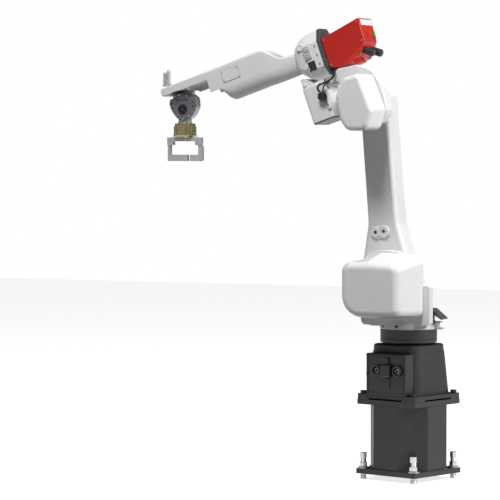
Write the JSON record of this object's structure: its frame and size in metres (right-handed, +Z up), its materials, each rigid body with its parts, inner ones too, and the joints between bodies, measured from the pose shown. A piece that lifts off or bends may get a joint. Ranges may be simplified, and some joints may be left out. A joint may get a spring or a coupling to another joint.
{
  "type": "robot arm",
  "caption": "Articulated robot arm on a black pedestal, with a red control box behind the elbow and a parallel finger gripper.",
  "frame": {"origin": "centre of the pedestal base plate's underside; the levelling bolts reach 26 mm lower", "axes": "+Z up, +X along the reach of the arm as stored, +Y on the side of the shoulder and elbow motor covers"},
  "size_m": [1.4482, 0.5419, 2.1005],
  "materials": {
    "white_casting": "white paint, satin",
    "white_cover": "white moulding, satin",
    "black_steel": "black paint, satin",
    "black_iron": "black paint, satin",
    "dark_grey": "dark grey paint",
    "steel": "zinc plated or ground",
    "motor_black": "black paint",
    "box_red": "red paint, semi-gloss",
    "black_plastic": "black moulding",
    "black_rubber": "black rubber",
    "switch_green": "green moulding",
    "wrist_grey": "grey paint, satin",
    "gripper_olive": "olive anodised",
    "light_grey": "bare or light grey"
  },
  "bodies": {
    "pedestal": {"base_plate": "black_steel", "mounting_flange": "black_steel", "column": "black_steel", "levelling_bolt_1": "steel", "levelling_bolt_2": "steel", "levelling_bolt_3": "steel", "levelling_bolt_4": "steel", "base_casting": "black_iron", "connector_panel": "black_steel", "cable_socket_1": "black_plastic", "cable_socket_2": "black_plastic", "j1_reducer": "steel", "j1_motor": "motor_black"},
    "turntable": {"rotation_collar": "black_steel", "turntable": "white_casting", "j2_cover": "white_cover", "j2_motor": "motor_black", "j2_reducer": "steel", "cable_bracket": "dark_grey", "stop_block": "light_grey"},
    "lower_arm": {"lower_arm_casting": "white_casting", "lower_arm_cover": "white_cover", "shoulder_cap": "white_cover", "elbow_cap": "white_cover", "port_plate": "white_casting"},
    "elbow": {"elbow_casting": "white_casting", "j3_cover": "white_cover", "j3_motor": "motor_black", "j3_reducer": "steel", "roll_housing": "white_casting", "roll_rear_plate": "dark_grey", "j4_reducer": "steel", "connector_plate": "light_grey", "j4_motor_case": "white_casting", "j4_case_cover": "dark_grey", "j4_motor": "motor_black", "conduit_dome": "white_casting", "control_box": "box_red", "signal_connector_1": "black_plastic", "signal_connector_2": "black_plastic", "motor_lead": "black_rubber", "motor_plug": "black_plastic"},
    "switch": {"power_switch": "switch_green"},
    "forearm": {"forearm_casing": "white_casting", "access_panel": "white_casting", "j6_motor": "motor_black", "j5_motor": "motor_black", "belt_cover": "white_cover", "j5_belt": "black_rubber", "air_fitting": "light_grey"},
    "drive_pulley": {"j5_drive_pulley": "steel"},
    "wrist": {"wrist_body": "light_grey", "j5_driven_pulley": "steel", "j6_reducer": "steel", "wrist_cover": "wrist_grey", "hub_ring": "black_plastic"},
    "tool": {"tool_flange": "steel", "gripper_body": "gripper_olive"},
    "finger_1": {"finger_1": "light_grey"},
    "finger_2": {"finger_2": "light_grey"}
  },
  "joints": [
    {"name": "j1_turn", "type": "hinge", "parent": "pedestal", "child": "turntable", "pos_m": [0, 0, 0.6], "axis": [0, 0, 1], "range_deg": [-278, 62]},
    {"name": "j2_shoulder", "type": "hinge", "parent": "turntable", "child": "lower_arm", "pos_m": [0.08, 0, 0.834], "axis": [0, 1, 0], "range_deg": [-70, 95]},
    {"name": "j3_elbow", "type": "hinge", "parent": "lower_arm", "child": "elbow", "pos_m": [0.14603, 0, 1.69999], "axis": [0, -1, 0], "range_deg": [-42, 135]},
    {"name": "switch_rock", "type": "hinge", "parent": "elbow", "child": "switch", "pos_m": [0.20038, 0, 2.00324], "axis": [0, 1, 0], "range_deg": [0, 12]},
    {"name": "j4_roll", "type": "hinge", "parent": "elbow", "child": "forearm", "pos_m": [0.24217, 0, 1.97147], "axis": [0.9426, 0, -0.3338], "range_deg": [-190, 190]},
    {"name": "j5_wrist", "type": "hinge", "parent": "forearm", "child": "wrist", "pos_m": [1.12165, 0, 1.66003], "axis": [0, -1, 0], "range_deg": [-68, 75]},
    {"name": "j5_pulley_spin", "type": "hinge", "parent": "forearm", "child": "drive_pulley", "pos_m": [1.1537, 0, 1.75052], "axis": [0, -1, 0], "range_deg": [-102, 112.5]},
    {"name": "j6_flange", "type": "hinge", "parent": "wrist", "child": "tool", "pos_m": [1.12165, 0, 1.59403], "axis": [0, 0, -1], "range_deg": [-360, 360]},
    {"name": "finger_1_slide", "type": "slide", "parent": "tool", "child": "finger_1", "axis": [1, 0, 0], "range_m": [0, 0.012]},
    {"name": "finger_2_slide", "type": "slide", "parent": "tool", "child": "finger_2", "axis": [-1, 0, 0], "range_m": [0, 0.012]}
  ],
  "couplings": [
    {"joint": "finger_2_slide", "follows": "finger_1_slide", "ratio": 1},
    {"joint": "j5_pulley_spin", "follows": "j5_wrist", "ratio": 1.5}
  ]
}
